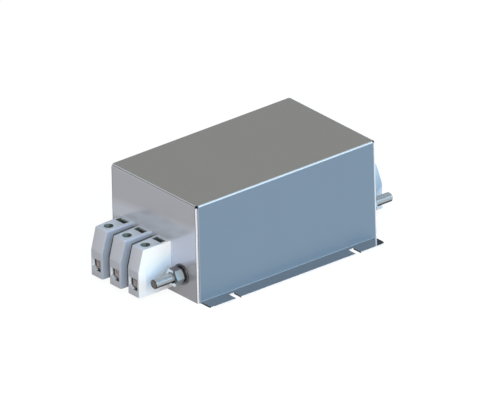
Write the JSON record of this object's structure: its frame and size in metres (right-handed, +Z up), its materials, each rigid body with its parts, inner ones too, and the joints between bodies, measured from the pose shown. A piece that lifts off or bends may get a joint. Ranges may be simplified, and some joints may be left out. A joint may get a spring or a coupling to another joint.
{
  "type": "emi line filter",
  "caption": "Three-pole line filter in a folded steel box with slotted flanges, screw terminals and a ground stud at each end.",
  "frame": {"origin": "centre of the underside, on the plane that the box and its flanges stand on", "axes": "+X along the box from the line end to the load end, +Y across it, away from the ground studs' side, +Z up"},
  "size_m": [0.3122, 0.1686, 0.1073],
  "materials": {
    "zinc_sheet": "satin",
    "plate_steel": "satin",
    "terminal_plastic": "satin",
    "cover_plastic": "satin",
    "insert_plastic": "matte",
    "clamp_steel": "satin",
    "screw_steel": "bright zinc",
    "stud_steel": "bright zinc",
    "copper": "tinned copper",
    "core_ferrite": "matte",
    "carrier_plastic": "matte",
    "strap_steel": "satin",
    "board_laminate": "gloss",
    "film_case": "matte",
    "ceramic_case": "matte",
    "resistor_coat": "gloss"
  },
  "bodies": {
    "root": {"bar_carrier": "carrier_plastic", "base_plate": "zinc_sheet", "base_screws": "screw_steel", "board_screws": "screw_steel", "board_standoffs": "screw_steel", "choke_core_1": "core_ferrite", "choke_core_2": "core_ferrite", "choke_core_3": "core_ferrite", "choke_core_4": "core_ferrite", "clamp_screws": "screw_steel", "core_saddle": "carrier_plastic", "core_straps": "strap_steel", "discharge_resistors": "resistor_coat", "film_capacitor_1": "film_case", "film_capacitor_2": "film_case", "film_capacitor_3": "film_case", "filter_board": "board_laminate", "ground_capacitor_1": "ceramic_case", "ground_capacitor_2": "ceramic_case", "ground_capacitor_3": "ceramic_case", "ground_link": "copper", "ground_nuts": "stud_steel", "ground_spring_washers": "stud_steel", "ground_washers": "stud_steel", "housing": "zinc_sheet", "line_base_bracket": "plate_steel", "line_clamp_1": "clamp_steel", "line_clamp_2": "clamp_steel", "line_clamp_3": "clamp_steel", "line_end_cover": "cover_plastic", "line_ground_stud": "stud_steel", "line_insert_1": "insert_plastic", "line_insert_2": "insert_plastic", "line_insert_3": "insert_plastic", "line_lock_plate": "insert_plastic", "line_terminal_1": "terminal_plastic", "line_terminal_2": "terminal_plastic", "line_terminal_3": "terminal_plastic", "link_screws": "screw_steel", "load_base_bracket": "plate_steel", "load_clamp_1": "clamp_steel", "load_clamp_2": "clamp_steel", "load_clamp_3": "clamp_steel", "load_end_cover": "cover_plastic", "load_ground_stud": "stud_steel", "load_insert_1": "insert_plastic", "load_insert_2": "insert_plastic", "load_insert_3": "insert_plastic", "load_lock_plate": "insert_plastic", "load_terminal_1": "terminal_plastic", "load_terminal_2": "terminal_plastic", "load_terminal_3": "terminal_plastic", "phase_bar_1": "copper", "phase_bar_2": "copper", "phase_bar_3": "copper", "phase_link_1": "copper", "phase_link_2": "copper", "phase_link_3": "copper"}
  },
  "joints": []
}
